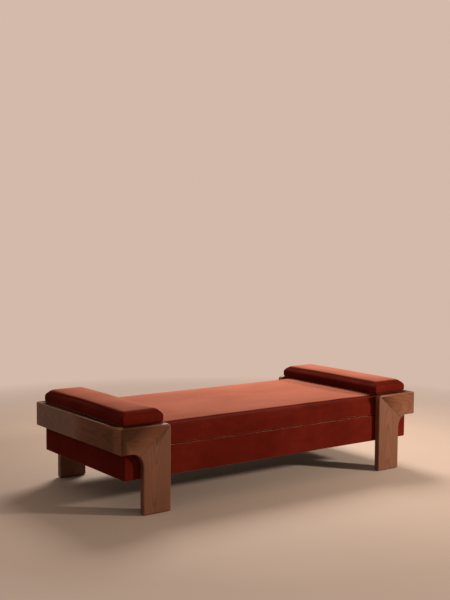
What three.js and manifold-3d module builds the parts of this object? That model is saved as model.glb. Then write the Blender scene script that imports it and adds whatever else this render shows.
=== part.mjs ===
// A daybed: two wooden end frames on slab legs hold a velvet base, which carries a loose
// mattress, with a loose bolster lying across each end of it.
// Millimetres, +Z up, +X along the bed, front at -Y. The origin is on the floor under the
// middle of the bed.
import * as THREE from 'three';
import { mergeVertices } from 'three/addons/utils/BufferGeometryUtils.js';
import Module from 'manifold-3d';

const wasm = await Module();
wasm.setup();

// Overall sizes
const bedLength = 2050;
const bedWidth = 954;
const frameHeight = 454; // floor to the top of the arms and end rails
const touch = 0.3; // gap left between pieces that touch

// Wooden end frames
const panelThickness = 36; // arms and legs, across the bed
const railThickness = 36; // end rails, along the bed
const armDepth = 134; // arms and end rails, top to bottom
const legWidth = 163;
const legReach = 292; // outer end of the bed to the inner edge of a leg
const underArmRadius = 70;
const topCornerRadius = 22;
const edgeRadius = 6;
const railCornerRadius = 9;
const splineThickness = 10; // loose tongue inside the mitre of arm and leg
const splineWidth = 44;
const splineLength = 160;
const tongueThickness = 12; // loose tongue between arm and end rail
const tongueHeight = 84;
const tongueDepth = 20; // into each of the two pieces
const padThickness = 3; // felt under each leg
const padMargin = 7;

// Base
const baseTop = 331;
const baseBottom = 181;
const baseEndGap = 1; // velvet to the inner face of an end rail
const skinThickness = 3; // velvet over thin wadding
const skinLip = 11; // turned over the top edge
const skinHem = 25; // turned under the bottom edge
const skinCornerRadius = 9;
const boardThickness = 24; // rails, ends and cross rails
const crossRailHeight = 100;
const crossRailCount = 3;
const slatCount = 8;
const slatWidth = 165;
const slatThickness = 16;
const slatBearing = 10; // length of each slat end that lies in the rail's rebate
const dustSheetThickness = 1;
const dustSheetMargin = 12;

// Bolts that hold each leg to the base
const boltDiameter = 8;
const boltHeadDiameter = 20;
const boltHeadThickness = 5;
const boltHeadFlat = 14; // diameter of the flat inside the head's sloping rim
const boltSocketDiameter = 5.4;
const boltSocketDepth = 3;
const boltDepthInLeg = 24;
const boltSpacing = 84;
const boltHeight = 256;

// Mattress
const mattressTop = 451;
const mattressSideGap = 4;
const mattressEndGap = 3;
const mattressEdgeRadius = 22;
const mattressCornerRadius = 34;

// Bolsters
const bolsterSideGap = 3; // each end of a bolster to the faces of the panels
const bolsterWidth = 252;
const bolsterThickness = 84;
const bolsterEdgeRadius = 33;
const bolsterCornerRadius = 44;
const bolsterReach = { left: 152, right: 162 }; // outer end of the bed to a bolster's middle

// Covers and zips
const coverThickness = 2;
const mattressZipMargin = 236; // end of the zip to the end of the mattress
const bolsterZipMargin = 118;
const zipSlotWidth = 16;
const zipSlotDepth = 5; // groove in the filling behind the cover
const zipTapeThickness = 1.2;
const sliderLength = 13;
const sliderWidth = 9;
const sliderThickness = 2.6;
const pullLength = 24;
const pullWidth = 6;
const pullThickness = 1.4;

// Faces that several pieces share
const halfLength = bedLength / 2;
const halfWidth = bedWidth / 2;
const panelInner = halfWidth - panelThickness;
const railInner = halfLength - railThickness;
const armBottom = frameHeight - armDepth;
const legInner = halfLength - legReach;
const legOuter = legInner + legWidth;
const legBottom = padThickness + touch;
const baseHalfLength = railInner - baseEndGap;
const baseHalfWidth = panelInner - touch;
const framingHalfLength = baseHalfLength - skinThickness - touch;
const framingHalfWidth = baseHalfWidth - skinThickness - touch;
const framingTop = baseTop - skinThickness - touch;
const framingBottom = baseBottom + skinThickness + touch;
const boardInner = framingHalfWidth - boardThickness;
const slatBottom = baseTop - slatThickness;
const slatHalfLength = boardInner + slatBearing - touch;

// Finishes: colour, roughness, metalness
const stainedOak = [0x5a3826, 0.55, 0];
const beech = [0xb08a5c, 0.6, 0];
const pine = [0xc9a878, 0.7, 0];
const velvet = [0x96341f, 0.85, 0];
const foam = [0xe3dccb, 0.95, 0];
const felt = [0x2a2522, 0.95, 0];
const cambric = [0x1d1c1c, 0.9, 0];
const tape = [0x6e2618, 0.8, 0];
const steel = [0x8d8f92, 0.35, 0.9];
const brass = [0x9c8454, 0.4, 0.85];

const daybed = new THREE.Group();

// One named piece with its own material, added to a group.
function addPiece(group, name, geometry, [color, roughness, metalness]) {
  const material = new THREE.MeshStandardMaterial({ color, roughness, metalness });
  const mesh = new THREE.Mesh(geometry, material);
  mesh.name = name;
  group.add(mesh);
  return mesh;
}

// A closed three.js geometry as a solid for joining and cutting.
function toSolid(geometry) {
  const bare = geometry.clone();
  bare.deleteAttribute('normal');
  bare.deleteAttribute('uv');
  const merged = mergeVertices(bare, 1e-3);
  return new wasm.Manifold(new wasm.Mesh({
    numProp: 3,
    vertProperties: merged.attributes.position.array,
    triVerts: new Uint32Array(merged.index.array),
  }));
}

function toGeometry(solid) {
  const mesh = solid.getMesh();
  const geometry = new THREE.BufferGeometry();
  geometry.setAttribute('position', new THREE.BufferAttribute(mesh.vertProperties, 3));
  geometry.setIndex(new THREE.BufferAttribute(mesh.triVerts, 1));
  geometry.computeVertexNormals();
  return geometry;
}

// The first geometry with all the others cut out of it.
function cut(geometry, ...tools) {
  let solid = toSolid(geometry);
  for (const tool of tools) solid = solid.subtract(toSolid(tool));
  return toGeometry(solid);
}

// A box from its lowest and highest corners.
function boxBetween([x0, y0, z0], [x1, y1, z1]) {
  const box = new THREE.BoxGeometry(x1 - x0, y1 - y0, z1 - z0);
  return box.translate((x0 + x1) / 2, (y0 + y1) / 2, (z0 + z1) / 2);
}

function cylinderAlongY(diameter, y0, y1, x, z) {
  const cylinder = new THREE.CylinderGeometry(diameter / 2, diameter / 2, Math.abs(y1 - y0), 12);
  return cylinder.translate(x, (y0 + y1) / 2, z);
}

function roundedRectangle(width, height, radius) {
  const shape = new THREE.Shape();
  const [x, y] = [width / 2 - radius, height / 2 - radius];
  shape.absarc(x, y, radius, 0, Math.PI / 2);
  shape.absarc(-x, y, radius, Math.PI / 2, Math.PI);
  shape.absarc(-x, -y, radius, Math.PI, 1.5 * Math.PI);
  shape.absarc(x, -y, radius, 1.5 * Math.PI, 2 * Math.PI);
  return shape;
}

// An outline pushed along its normal to a thickness, centred, with all its edges rounded.
function roundedSlab(shape, thickness, edge, edgeSteps, curveSegments) {
  const slab = new THREE.ExtrudeGeometry(shape, {
    depth: thickness - 2 * edge,
    bevelThickness: edge,
    bevelSize: edge,
    bevelOffset: -edge,
    bevelSegments: edgeSteps,
    curveSegments,
  });
  return slab.translate(0, 0, edge - thickness / 2);
}

// The half of space past a plane through (x, z), whose normal lies in the XZ plane at the
// given angle from +Z, as a very large box.
function halfSpace(x, z, angle, offset) {
  const size = 4 * bedLength;
  const box = new THREE.BoxGeometry(size, size, size);
  return box.translate(0, 0, size / 2 + offset).rotateY(angle).translate(x, 0, z);
}

// ---- End frames, drawn for the right end ----

// The outline of arm and leg together, seen from the front. The arm runs past the bed's
// end, because the end rail takes its last part away.
function panelOutline() {
  const armEnd = halfLength + legWidth;
  const shape = new THREE.Shape();
  shape.moveTo(legInner, legBottom);
  shape.lineTo(legOuter, legBottom);
  shape.lineTo(legOuter, armBottom - underArmRadius);
  shape.absarc(
    legOuter + underArmRadius, armBottom - underArmRadius, underArmRadius,
    Math.PI, Math.PI / 2, true,
  );
  shape.lineTo(armEnd, armBottom);
  shape.lineTo(armEnd, frameHeight);
  shape.absarc(
    legInner + topCornerRadius, frameHeight - topCornerRadius, topCornerRadius,
    Math.PI / 2, Math.PI,
  );
  return shape;
}

// Arm and leg meet on a mitre from the inner top corner to the corner under the arm.
const mitreAngle = Math.atan2(armDepth, legWidth);

function splineBox(growth) {
  const box = new THREE.BoxGeometry(
    splineLength + 2 * growth, splineThickness + 2 * growth, splineWidth + 2 * growth,
  );
  const middleX = (legInner + legOuter) / 2;
  const middleZ = (frameHeight + armBottom) / 2;
  return box.rotateY(mitreAngle).translate(middleX, 0, middleZ);
}

function tongueBox(growth) {
  const middleZ = frameHeight - armDepth / 2;
  const halfHeight = tongueHeight / 2 + growth;
  const halfThickness = tongueThickness / 2 + growth;
  const reach = tongueDepth + growth;
  return boxBetween(
    [railInner - reach, -halfThickness, middleZ - halfHeight],
    [railInner + reach, halfThickness, middleZ + halfHeight],
  );
}

// Two bolts side by side run from inside the base into each leg.
function boltPlaces() {
  const middle = (legInner + legOuter) / 2;
  return [middle - boltSpacing / 2, middle + boltSpacing / 2];
}

function boltHole(x, y0, y1) {
  return cylinderAlongY(boltDiameter + 2 * touch, y0, y1, x, boltHeight);
}

function addEndFrame(end) {
  const group = new THREE.Group();
  group.rotation.z = end === 'left' ? Math.PI : 0;
  daybed.add(group);

  for (const side of [-1, 1]) {
    const isFront = (side === -1) === (end === 'right');
    const place = `${end}_${isFront ? 'front' : 'rear'}`;
    const panelMiddle = side * (halfWidth - panelThickness / 2);

    const blank = roundedSlab(panelOutline(), panelThickness, edgeRadius, 2, 8);
    blank.rotateX(Math.PI / 2);
    const beyondMitre = halfSpace(legInner, frameHeight, mitreAngle, -touch / 2);
    const beforeMitre = halfSpace(legInner, frameHeight, mitreAngle + Math.PI, -touch / 2);
    const beyondRail = halfSpace(railInner - touch, frameHeight, Math.PI / 2, 0);
    const splinePocket = splineBox(touch);

    const legFace = side * (panelInner - touch) - panelMiddle;
    const holeEnd = side * (panelInner + boltDepthInLeg + touch) - panelMiddle;
    const holes = boltPlaces().map((x) => boltHole(x, legFace, holeEnd));
    const leg = cut(blank, beyondMitre, splinePocket, ...holes);
    const arm = cut(blank, beforeMitre, splinePocket, beyondRail, tongueBox(touch));

    addPiece(group, `${place}_leg`, leg, stainedOak).position.y = panelMiddle;
    addPiece(group, `${place}_arm`, arm, stainedOak).position.y = panelMiddle;
    addPiece(group, `${place}_mitre_spline`, splineBox(0), beech).position.y = panelMiddle;
    addPiece(group, `${place}_rail_tongue`, tongueBox(0), beech).position.y = panelMiddle;

    const pad = boxBetween(
      [legInner + padMargin, -panelThickness / 2 + padMargin, 0],
      [legOuter - padMargin, panelThickness / 2 - padMargin, padThickness],
    );
    addPiece(group, `${place}_felt_pad`, pad, felt).position.y = panelMiddle;

    boltPlaces().forEach((x, i) => {
      const bolt = addPiece(group, `${place}_leg_bolt_${i + 1}`, boltGeometry(), steel);
      bolt.rotation.z = side < 0 ? Math.PI : 0;
      bolt.position.set(x, side * boardInner, boltHeight);
    });
  }

  // The end rail covers the ends of both arms.
  const rail = roundedSlab(
    roundedRectangle(bedWidth, armDepth, railCornerRadius), railThickness, edgeRadius, 2, 3,
  );
  rail.rotateX(Math.PI / 2).rotateZ(Math.PI / 2);
  rail.translate(railInner + railThickness / 2, 0, frameHeight - armDepth / 2);
  const tonguePockets = [-1, 1].map((side) => (
    tongueBox(touch).translate(0, side * (halfWidth - panelThickness / 2), 0)
  ));
  addPiece(group, `${end}_end_rail`, cut(rail, ...tonguePockets), stainedOak);
}

// A flanged socket bolt pointing along +Y, with the underside of its head at y = -touch.
function boltGeometry() {
  const headEnd = -touch - boltHeadThickness;
  const shankEnd = panelInner + boltDepthInLeg - boardInner;
  const radius = boltDiameter / 2;
  const profile = [
    [0, headEnd + boltSocketDepth],
    [boltSocketDiameter / 2, headEnd + boltSocketDepth],
    [boltSocketDiameter / 2, headEnd],
    [boltHeadFlat / 2, headEnd],
    [boltHeadDiameter / 2, headEnd + boltSocketDepth],
    [boltHeadDiameter / 2, -touch],
    [radius, -touch],
    [radius, shankEnd - radius / 2],
    [radius / 2, shankEnd],
    [0, shankEnd],
  ];
  return new THREE.LatheGeometry(profile.map(([r, y]) => new THREE.Vector2(r, y)), 12);
}

// ---- Base ----

function everyBoltHole(side, y0, y1) {
  return boltPlaces().flatMap((x) => [-x, x]).map((x) => boltHole(x, side * y0, side * y1));
}

// A long side rail, rebated along its inner top edge for the slats.
function addSideRail(name, side) {
  const rail = boxBetween(
    [-framingHalfLength, -boardThickness / 2, framingBottom],
    [framingHalfLength, boardThickness / 2, framingTop],
  );
  const middle = side * (framingHalfWidth - boardThickness / 2);
  const rebate = boxBetween(
    [-bedLength, -slatBearing, slatBottom - touch],
    [bedLength, slatBearing, frameHeight],
  ).translate(0, -side * boardThickness / 2, 0);
  const holes = everyBoltHole(side, -boardThickness, boardThickness);
  addPiece(daybed, name, cut(rail, rebate, ...holes), pine).position.y = middle;
}

function addBaseFraming() {
  addSideRail('base_front_rail', -1);
  addSideRail('base_rear_rail', 1);
  const halfSpan = boardInner - touch;
  for (const [name, end] of [['base_left_end', -1], ['base_right_end', 1]]) {
    const board = boxBetween(
      [-boardThickness / 2, -halfSpan, framingBottom],
      [boardThickness / 2, halfSpan, framingTop],
    );
    addPiece(daybed, name, board, pine).position.x = end * (framingHalfLength - boardThickness / 2);
  }
  const clearHalfLength = framingHalfLength - boardThickness;
  for (let i = 0; i < crossRailCount; i += 1) {
    const crossTop = slatBottom - touch;
    const crossRail = boxBetween(
      [-boardThickness / 2, -halfSpan, crossTop - crossRailHeight],
      [boardThickness / 2, halfSpan, crossTop],
    );
    const share = (i + 1) / (crossRailCount + 1);
    const x = (2 * share - 1) * clearHalfLength;
    addPiece(daybed, `base_cross_rail_${i + 1}`, crossRail, pine).position.x = x;
  }
  for (let i = 0; i < slatCount; i += 1) {
    const slat = boxBetween(
      [-slatWidth / 2, -slatHalfLength, slatBottom],
      [slatWidth / 2, slatHalfLength, baseTop],
    );
    const share = (i + 0.5) / slatCount;
    const x = (2 * share - 1) * clearHalfLength;
    addPiece(daybed, `base_slat_${i + 1}`, slat, pine).position.x = x;
  }
}

// A box round the middle of the bed, from its half sizes and its two heights.
function middleBox(halfX, halfY, z0, z1) {
  return boxBetween([-halfX, -halfY, z0], [halfX, halfY, z1]);
}

// The velvet band round the base, turned over the framing at the top and bottom.
function addBaseSkin() {
  const height = baseTop - baseBottom;
  const outline = roundedRectangle(2 * baseHalfLength, 2 * baseHalfWidth, skinCornerRadius);
  const outside = roundedSlab(outline, height, skinThickness, 2, 4);
  outside.translate(0, 0, baseBottom + height / 2);
  const inside = middleBox(
    baseHalfLength - skinThickness, baseHalfWidth - skinThickness,
    baseBottom + skinThickness, baseTop - skinThickness,
  );
  const topWindow = middleBox(
    baseHalfLength - skinThickness - skinLip, baseHalfWidth - skinThickness - skinLip,
    baseTop - height / 2, frameHeight,
  );
  const bottomWindow = middleBox(
    baseHalfLength - skinThickness - skinHem, baseHalfWidth - skinThickness - skinHem,
    0, baseTop - height / 2,
  );
  const holes = [-1, 1].flatMap((side) => everyBoltHole(side, boardInner, halfWidth));
  addPiece(daybed, 'base_velvet', cut(outside, inside, topWindow, bottomWindow, ...holes), velvet);
}

function addDustSheet() {
  const sheet = middleBox(
    baseHalfLength - dustSheetMargin, baseHalfWidth - dustSheetMargin,
    baseBottom - touch - dustSheetThickness, baseBottom - touch,
  );
  addPiece(daybed, 'base_dust_sheet', sheet, cambric);
}

// ---- Cushions ----

// A soft block centred on the origin, long along X, with rounded edges and corners.
function softBlock({ length, width, thickness, edge, corner }, inset) {
  const outline = roundedRectangle(length - 2 * inset, width - 2 * inset, corner - inset);
  return roundedSlab(outline, thickness - 2 * inset, edge - inset, 3, 4);
}

// A filling inside a thin cover that opens on a zip. The zip lies along X in a groove on
// the cushion's underside, or on its +Y side.
function addCushion(group, name, size) {
  const onSide = size.zipOn === 'side';
  const halfZip = size.length / 2 - size.zipMargin;
  const zipTurn = onSide ? Math.PI / 2 : 0;
  const zipFace = (onSide ? size.width : size.thickness) / 2;
  const grooveFloor = coverThickness + touch + zipSlotDepth;

  // Parts of the zip are drawn with the cushion's face at z = 0 and its filling above.
  const inPlace = (geometry) => {
    geometry.translate(0, 0, -zipFace);
    return geometry.rotateX(zipTurn);
  };
  const slot = (growth, depth) => inPlace(boxBetween(
    [-halfZip - growth, -zipSlotWidth / 2 - growth, -coverThickness],
    [halfZip + growth, zipSlotWidth / 2 + growth, depth],
  ));

  const cover = cut(
    softBlock(size, 0), softBlock(size, coverThickness), slot(0, coverThickness * 2),
  );
  const filling = cut(softBlock(size, coverThickness + touch), slot(touch, grooveFloor));
  addPiece(group, `${name}_cover`, cover, velvet);
  addPiece(group, `${name}_filling`, filling, foam);

  const tapeOuter = grooveFloor - touch - zipTapeThickness;
  const zipTape = boxBetween(
    [-halfZip + touch, -zipSlotWidth / 2 + touch, tapeOuter],
    [halfZip - touch, zipSlotWidth / 2 - touch, grooveFloor - touch],
  );
  addPiece(group, `${name}_zip`, inPlace(zipTape), tape);
  const slider = inPlace(sliderGeometry(tapeOuter - touch));
  addPiece(group, `${name}_zip_slider`, slider, brass).position.x = halfZip - pullLength;
}

// A zip slider whose back is at the given height, with its pull lying flat towards -X.
function sliderGeometry(back) {
  const front = back - sliderThickness;
  const body = boxBetween(
    [0, -sliderWidth / 2, front], [sliderLength, sliderWidth / 2, back],
  );
  const pull = boxBetween(
    [-pullLength + sliderLength / 2, -pullWidth / 2, front - pullThickness / 2],
    [sliderLength / 2, pullWidth / 2, front + pullThickness / 2],
  );
  return toGeometry(toSolid(body).add(toSolid(pull)));
}

function addMattress() {
  const bottom = baseTop + touch;
  const group = new THREE.Group();
  group.position.z = (bottom + mattressTop) / 2;
  daybed.add(group);
  addCushion(group, 'mattress', {
    length: 2 * (railInner - mattressEndGap),
    width: 2 * (panelInner - mattressSideGap),
    thickness: mattressTop - bottom,
    edge: mattressEdgeRadius,
    corner: mattressCornerRadius,
    zipMargin: mattressZipMargin,
    zipOn: 'side',
  });
}

function addBolster(end, sign) {
  const group = new THREE.Group();
  group.position.x = sign * (halfLength - bolsterReach[end]);
  group.position.z = mattressTop + touch + bolsterThickness / 2;
  group.rotation.z = Math.PI / 2;
  daybed.add(group);
  addCushion(group, `${end}_bolster`, {
    length: 2 * (panelInner - bolsterSideGap),
    width: bolsterWidth,
    thickness: bolsterThickness,
    edge: bolsterEdgeRadius,
    corner: bolsterCornerRadius,
    zipMargin: bolsterZipMargin,
    zipOn: 'underside',
  });
}

addEndFrame('left');
addEndFrame('right');
addBaseFraming();
addBaseSkin();
addDustSheet();
addMattress();
addBolster('left', -1);
addBolster('right', 1);

export default daybed;
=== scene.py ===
# A low daybed: two wooden end frames, a velvet base, a loose mattress and two loose bolsters.
# Metres, +Z up, +X along the bed, front at -Y, the floor at z = 0.
from math import pi, radians

import bmesh
import bpy
import numpy as np
from mathutils import Matrix, Vector


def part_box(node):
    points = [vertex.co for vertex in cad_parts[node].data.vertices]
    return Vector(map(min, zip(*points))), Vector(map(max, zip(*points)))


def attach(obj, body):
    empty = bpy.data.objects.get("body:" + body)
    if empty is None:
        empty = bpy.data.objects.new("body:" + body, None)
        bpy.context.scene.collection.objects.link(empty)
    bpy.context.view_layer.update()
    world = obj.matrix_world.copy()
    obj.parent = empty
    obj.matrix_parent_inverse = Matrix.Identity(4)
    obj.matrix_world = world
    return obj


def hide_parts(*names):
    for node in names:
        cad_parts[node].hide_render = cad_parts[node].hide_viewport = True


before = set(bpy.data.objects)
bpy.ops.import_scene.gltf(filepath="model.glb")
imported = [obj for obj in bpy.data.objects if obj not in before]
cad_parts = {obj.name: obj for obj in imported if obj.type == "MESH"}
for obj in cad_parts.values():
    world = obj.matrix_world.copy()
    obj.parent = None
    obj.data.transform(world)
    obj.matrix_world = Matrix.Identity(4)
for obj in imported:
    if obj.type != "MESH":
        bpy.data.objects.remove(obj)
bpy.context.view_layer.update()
draws = np.random.default_rng(11)  # board offsets, drawn in the order the boards are made
print("frame loaded:", len(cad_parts), "nodes")


def boxOf(node):
    low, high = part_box(node)
    return np.array(low), np.array(high)


# ---- camera, lights and floor ----

camera = dict(place=(-3.4655, -4.7109, 1.4545), heading=-35.89, tilt=-4.23, roll=0.36, lens=60.26)
keyLight = dict(place=(3.52, -4.16, 2.0), target=(1.3, -0.4, 0.2), size=0.45, spread=100, power=94,
                colour=(1.0, 0.86, 0.74))
topLight = dict(place=(1.5, 2.1, 2.9), target=(0.5, 0.0, 0.4), size=1.8, spread=120, power=72,
                colour=(1.0, 0.89, 0.80))
room = dict(seen=(0.66, 0.49, 0.40), fill=(0.80, 0.64, 0.54), strength=0.44,
            floor=(0.50, 0.395, 0.322), floorSize=40.0, floorFade=(1.9, 3.8))


def addCamera(own):
    data = bpy.data.cameras.new("camera")
    data.lens = own["lens"]
    data.clip_end = 200
    eye = bpy.data.objects.new("camera", data)
    turn = Matrix.Rotation(radians(own["heading"]), 4, "Z")
    tip = Matrix.Rotation(radians(90 + own["tilt"]), 4, "X")
    lean = Matrix.Rotation(radians(own["roll"]), 4, "Z")
    eye.matrix_world = Matrix.Translation(own["place"]) @ turn @ tip @ lean
    bpy.context.scene.collection.objects.link(eye)
    bpy.context.scene.camera = eye


def addLight(name, own):
    data = bpy.data.lights.new(name, "AREA")
    data.shape = "DISK"
    data.size = own["size"]
    data.energy = own["power"]
    data.spread = radians(own["spread"])
    data.color = own["colour"]
    lamp = bpy.data.objects.new(name, data)
    aim = Vector(own["target"]) - Vector(own["place"])
    lamp.matrix_world = Matrix.Translation(own["place"]) @ aim.to_track_quat("-Z", "Y").to_matrix().to_4x4()
    bpy.context.scene.collection.objects.link(lamp)


def addRoom(own):
    world = bpy.data.worlds.new("room")
    bpy.context.scene.world = world
    world.use_nodes = True
    tree = world.node_tree
    seen = tree.nodes["Background"]
    seen.inputs["Color"].default_value = (*own["seen"], 1)
    fill = addNode(tree, "ShaderNodeBackground", None, Color=(*own["fill"], 1), Strength=own["strength"])
    swap = tree.nodes.new("ShaderNodeMixShader")
    tree.links.new(tree.nodes.new("ShaderNodeLightPath").outputs["Is Camera Ray"], swap.inputs[0])
    tree.links.new(fill.outputs[0], swap.inputs[1])
    tree.links.new(seen.outputs[0], swap.inputs[2])
    tree.links.new(swap.outputs[0], tree.nodes["World Output"].inputs["Surface"])
    half = own["floorSize"] / 2
    mesh = bpy.data.meshes.new("floor")
    corners = [(-half, -half, 0), (half, -half, 0), (half, half, 0), (-half, half, 0)]
    mesh.from_pydata(corners, [], [(0, 1, 2, 3)])
    floor = bpy.data.objects.new("floor", mesh)
    bpy.context.scene.collection.objects.link(floor)
    mesh.materials.append(floorFinish(own))


# ---- shader helpers ----

def addNode(tree, kind, settings=None, **inputs):
    node = tree.nodes.new(kind)
    for key, value in (settings or {}).items():
        setattr(node, key, value)
    for key, value in inputs.items():
        feed(tree, node.inputs[int(key[1:]) if key[0] == "i" and key[1:].isdigit() else key], value)
    return node


def feed(tree, socket, value):
    if isinstance(value, bpy.types.NodeSocket):
        tree.links.new(value, socket)
    else:
        socket.default_value = value


def maths(tree, operation, *values):
    node = addNode(tree, "ShaderNodeMath", dict(operation=operation))
    for place, value in enumerate(values):
        feed(tree, node.inputs[place], value)
    return node.outputs[0]


def blendColours(tree, share, first, second):
    node = addNode(tree, "ShaderNodeMix", dict(data_type="RGBA"))
    feed(tree, node.inputs["Factor"], share)
    feed(tree, node.inputs[6], first)
    feed(tree, node.inputs[7], second)
    return node.outputs[2]


def spread(tree, value, fromLow, fromHigh, toLow=0.0, toHigh=1.0):
    node = addNode(tree, "ShaderNodeMapRange", None)
    ends = {"From Min": fromLow, "From Max": fromHigh, "To Min": toLow, "To Max": toHigh}
    for key, number in ends.items():
        node.inputs[key].default_value = number
    feed(tree, node.inputs["Value"], value)
    return node.outputs["Result"]


def noise(tree, vector, scale, detail=2.0, roughness=0.5, distortion=0.0):
    node = addNode(tree, "ShaderNodeTexNoise", None, Vector=vector, Scale=scale, Detail=detail,
                   Roughness=roughness, Distortion=distortion)
    return node.outputs[0]


def stretched(tree, vector, scale):
    node = addNode(tree, "ShaderNodeMapping", dict(vector_type="POINT"), Vector=vector)
    node.inputs["Scale"].default_value = scale
    return node.outputs[0]


def newGroup(name, inputs, outputs):
    tree = bpy.data.node_groups.new(name, "ShaderNodeTree")
    kinds = {"v": "NodeSocketVector", "f": "NodeSocketFloat"}
    for word, kind, value in inputs:
        socket = tree.interface.new_socket(name=word, in_out="INPUT", socket_type=kinds[kind])
        if value is not None:
            socket.default_value = value
    for word, kind in outputs:
        tree.interface.new_socket(name=word, in_out="OUTPUT", socket_type=kinds[kind])
    return tree, tree.nodes.new("NodeGroupInput").outputs, tree.nodes.new("NodeGroupOutput").inputs


def useGroup(tree, group, **inputs):
    node = tree.nodes.new("ShaderNodeGroup")
    node.node_tree = group
    for key, value in inputs.items():
        feed(tree, node.inputs[key], value)
    return node.outputs


def newMaterial(name, **sockets):
    material = bpy.data.materials.new(name)
    material.use_nodes = True
    tree = material.node_tree
    shader = tree.nodes["Principled BSDF"]
    for key, value in sockets.items():
        shader.inputs[key.replace("_", " ")].default_value = value
    return material, tree, shader.inputs


def bump(tree, height, distance, strength=1.0, normal=None):
    node = addNode(tree, "ShaderNodeBump", None, Height=height, Distance=distance, Strength=strength)
    if normal is not None:
        tree.links.new(normal, node.inputs["Normal"])
    return node.outputs[0]


def objectPlace(tree):
    return tree.nodes.new("ShaderNodeTexCoord").outputs["Object"]


def attribute(tree, name):
    return addNode(tree, "ShaderNodeAttribute", dict(attribute_name=name))


def makeWoodGroup():
    # Growth rings are the fractions of the distance from a pith line below the board, which
    # noise bends and which leans along the grain, so a flat face shows long arches.
    tree, given, result = newGroup("woodFigure", [
        ("Place", "v", None), ("Pitch", "f", 0.006), ("Pith Depth", "f", 0.07), ("Lean", "f", 0.03),
        ("Waver", "f", 0.012), ("Pore Length", "f", 60.0),
    ], [("Late", "f"), ("Pore", "f"), ("Patch", "f")])
    place = given["Place"]
    axes = addNode(tree, "ShaderNodeSeparateXYZ", None, Vector=place).outputs
    drift = addNode(tree, "ShaderNodeSeparateXYZ", None, Vector=addNode(
        tree, "ShaderNodeTexNoise", None, Vector=stretched(tree, place, (1.6, 7.0, 7.0)), Scale=1.0,
        Detail=2.0, Roughness=0.45).outputs["Color"]).outputs
    sideways = maths(tree, "MULTIPLY", maths(tree, "SUBTRACT", drift[0], 0.5),
                     maths(tree, "MULTIPLY", given["Waver"], 2.0))
    across = maths(tree, "ADD", axes[1], sideways)
    upwards = maths(tree, "MULTIPLY", maths(tree, "SUBTRACT", drift[1], 0.5),
                    maths(tree, "MULTIPLY", given["Waver"], 3.0))
    depth = maths(tree, "ADD", axes[2], upwards)
    depth = maths(tree, "ADD", depth, given["Pith Depth"])
    leaning = maths(tree, "ADD", depth, maths(tree, "MULTIPLY", axes[0], given["Lean"]))
    radius = maths(tree, "SQRT", maths(tree, "ADD", maths(tree, "MULTIPLY", across, across),
                                       maths(tree, "MULTIPLY", leaning, leaning)))
    ripple = noise(tree, stretched(tree, place, (4.0, 60.0, 60.0)), 1.0, 2.0)
    turns = maths(tree, "ADD", maths(tree, "DIVIDE", radius, given["Pitch"]),
                  maths(tree, "MULTIPLY", ripple, 0.5))
    ring = maths(tree, "FRACT", turns)
    late = maths(tree, "POWER", ring, 2.6)
    fall = spread(tree, ring, 0.90, 1.0, 1.0, 0.0)
    feed(tree, result["Late"], maths(tree, "MULTIPLY", late, fall))
    streaks = addNode(tree, "ShaderNodeVectorMath", dict(operation="MULTIPLY"), i0=place)
    scale = addNode(tree, "ShaderNodeCombineXYZ", None, X=given["Pore Length"], Y=1500.0, Z=1500.0)
    tree.links.new(scale.outputs[0], streaks.inputs[1])
    pore = spread(tree, noise(tree, streaks.outputs[0], 1.0, 1.0), 0.58, 0.70)
    early = spread(tree, ring, 0.55, 0.05, 0.25, 1.0)
    feed(tree, result["Pore"], maths(tree, "MULTIPLY", pore, early))
    feed(tree, result["Patch"], noise(tree, stretched(tree, place, (2.5, 16.0, 16.0)), 1.0, 3.0))
    return tree


def makeWearAndHighlightGroup():
    # The rubbed parts of rounded edges, which on wood also stand for a painted highlight: the piece's own
    # edge value, broken up by noise.
    tree, given, result = newGroup("edgeWearAndHighlight", [("Place", "v", None), ("Amount", "f", 0.5)],
                                   [("Mask", "f")])
    edge = attribute(tree, "edge").outputs["Fac"]
    broken = spread(tree, noise(tree, given["Place"], 26.0, 3.0, 0.6), 0.35, 0.65)
    wornAndHighlit = maths(tree, "MULTIPLY", edge, broken)
    feed(tree, result["Mask"], maths(tree, "MULTIPLY", wornAndHighlit, given["Amount"]))
    return tree


def makeWeaveGroup():
    # Two sets of threads, each a rectified sine across its own direction.
    tree, given, result = newGroup("plainWeave", [("Place", "v", None), ("Pitch", "f", 0.0008)],
                                   [("Height", "f"), ("Shade", "f")])
    axes = addNode(tree, "ShaderNodeSeparateXYZ", None, Vector=given["Place"]).outputs
    rate = maths(tree, "DIVIDE", pi, given["Pitch"])
    warp = maths(tree, "ABSOLUTE", maths(tree, "SINE", maths(tree, "MULTIPLY", axes[0], rate)))
    both = maths(tree, "ADD", axes[1], axes[2])
    weft = maths(tree, "ABSOLUTE", maths(tree, "SINE", maths(tree, "MULTIPLY", both, rate)))
    feed(tree, result["Height"], maths(tree, "MAXIMUM", warp, weft))
    feed(tree, result["Shade"], noise(tree, given["Place"], 40.0, 3.0))
    return tree


woodGroup, wearAndHighlightGroup, weaveGroup = makeWoodGroup(), makeWearAndHighlightGroup(), makeWeaveGroup()


# ---- finishes ----

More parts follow.
